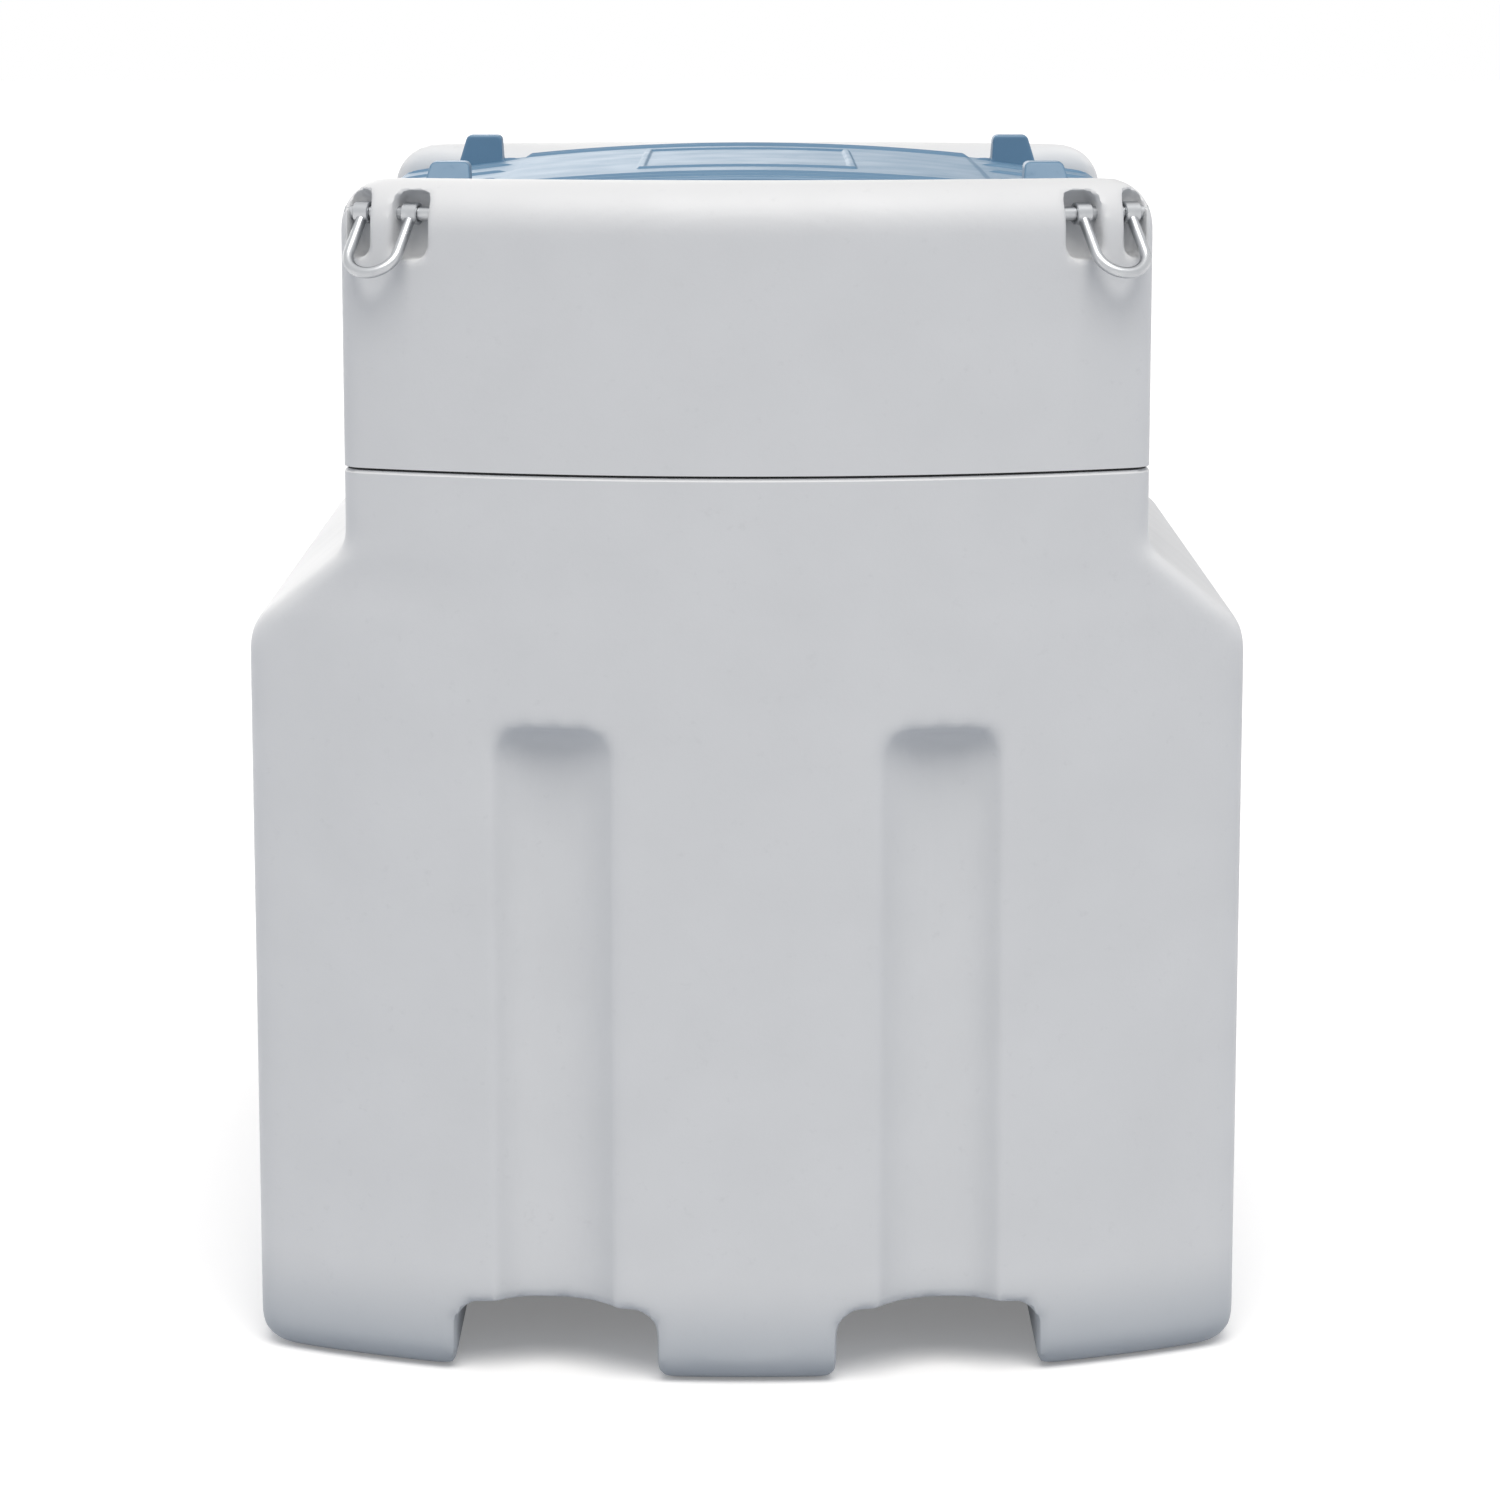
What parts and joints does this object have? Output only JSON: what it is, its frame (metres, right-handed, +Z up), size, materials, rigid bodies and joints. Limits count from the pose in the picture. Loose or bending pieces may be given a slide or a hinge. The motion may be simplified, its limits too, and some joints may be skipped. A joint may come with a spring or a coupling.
{
  "type": "fresh water tank",
  "caption": "White moulded water tank with fork pockets, a narrow cabinet under a blue vaulted lid, corner lifting bails, and a manhole, filler, vent and outlet valve inside.",
  "frame": {"origin": "on the floor, at the middle of the tank's outer box", "axes": "-Y is the front with the two grooves and the neck flush with it, +X the right-hand side seen from the front, +Z up"},
  "size_m": [1, 1.3, 1.2078],
  "materials": {
    "white_mould": "rotationally moulded natural polyethylene, soft sheen",
    "blue_mould": "rotationally moulded blue polyethylene, semi-gloss",
    "zinc_steel": "bright zinc plating",
    "stainless": "turned and polished",
    "black_plastic": "injection-moulded polypropylene",
    "blue_plastic": "injection-moulded polypropylene",
    "black_rubber": "matt",
    "white_pipe": "extruded pipe"
  },
  "bodies": {
    "tank": {"tank_body": "white_mould", "upper_housing": "white_mould", "seam_seal": "black_rubber", "hinge_pin_front": "stainless", "hinge_pin_rear": "stainless", "manhole_ring": "black_plastic", "manhole_gasket": "black_rubber", "filler_neck": "black_plastic", "vent_body": "black_plastic", "vent_cap": "black_plastic", "suction_flange": "black_plastic", "suction_pipe": "white_pipe", "foot_strainer": "black_plastic", "outlet_elbow": "black_plastic", "valve_body": "stainless", "outlet_coupling": "stainless", "bail_bar_front_left": "zinc_steel", "bail_bar_front_right": "zinc_steel", "bail_bar_rear_left": "zinc_steel", "bail_bar_rear_right": "zinc_steel", "housing_bolt_front_left": "zinc_steel", "housing_bolt_front_right": "zinc_steel", "housing_bolt_rear_left": "zinc_steel", "housing_bolt_rear_right": "zinc_steel", "housing_bolt_left": "zinc_steel", "housing_bolt_right": "zinc_steel", "ring_bolt_1": "zinc_steel", "ring_bolt_2": "zinc_steel", "ring_bolt_3": "zinc_steel", "ring_bolt_4": "zinc_steel", "ring_bolt_5": "zinc_steel", "ring_bolt_6": "zinc_steel", "ring_bolt_7": "zinc_steel", "ring_bolt_8": "zinc_steel"},
    "lid": {"lid": "blue_mould"},
    "manhole_cover": {"manhole_cover": "blue_plastic"},
    "filler_cap": {"filler_cap": "blue_plastic"},
    "valve": {"valve_lever": "stainless", "valve_ball": "stainless"},
    "outlet_cap": {"outlet_cap": "black_plastic"},
    "bail_front_left": {"lift_bail_front_left": "zinc_steel"},
    "bail_front_right": {"lift_bail_front_right": "zinc_steel"},
    "bail_rear_left": {"lift_bail_rear_left": "zinc_steel"},
    "bail_rear_right": {"lift_bail_rear_right": "zinc_steel"}
  },
  "joints": [
    {"name": "lid_hinge", "type": "hinge", "parent": "tank", "child": "lid", "pos_m": [-0.376, -0.175, 1.142], "axis": [0, -1, 0], "range_deg": [0, 90]},
    {"name": "bail_front_left_swing", "type": "hinge", "parent": "tank", "child": "bail_front_left", "pos_m": [-0.35002, -0.56228, 1.161], "axis": [-0.9319, 0.3627, 0], "range_deg": [0, 85]},
    {"name": "bail_front_right_swing", "type": "hinge", "parent": "tank", "child": "bail_front_right", "pos_m": [0.35002, -0.56228, 1.161], "axis": [-0.9319, -0.3627, 0], "range_deg": [0, 85]},
    {"name": "bail_rear_left_swing", "type": "hinge", "parent": "tank", "child": "bail_rear_left", "pos_m": [-0.35002, 0.21228, 1.161], "axis": [0.9319, 0.3627, 0], "range_deg": [0, 85]},
    {"name": "bail_rear_right_swing", "type": "hinge", "parent": "tank", "child": "bail_rear_right", "pos_m": [0.35002, 0.21228, 1.161], "axis": [0.9319, -0.3627, 0], "range_deg": [0, 85]},
    {"name": "manhole_cover_turn", "type": "hinge", "parent": "tank", "child": "manhole_cover", "pos_m": [0, -0.073, 0.965], "axis": [0, 0, 1], "range_deg": [0, 360]},
    {"name": "filler_cap_turn", "type": "hinge", "parent": "tank", "child": "filler_cap", "pos_m": [-0.215, -0.427, 0.95], "axis": [0, 0, 1], "range_deg": [0, 360]},
    {"name": "valve_lever_turn", "type": "hinge", "parent": "tank", "child": "valve", "pos_m": [0.0923, -0.427, 1.007], "axis": [0, 0, 1], "range_deg": [0, 90]},
    {"name": "outlet_cap_turn", "type": "hinge", "parent": "tank", "child": "outlet_cap", "pos_m": [0.1726, -0.427, 1.007], "axis": [1, 0, 0], "range_deg": [0, 360]}
  ]
}
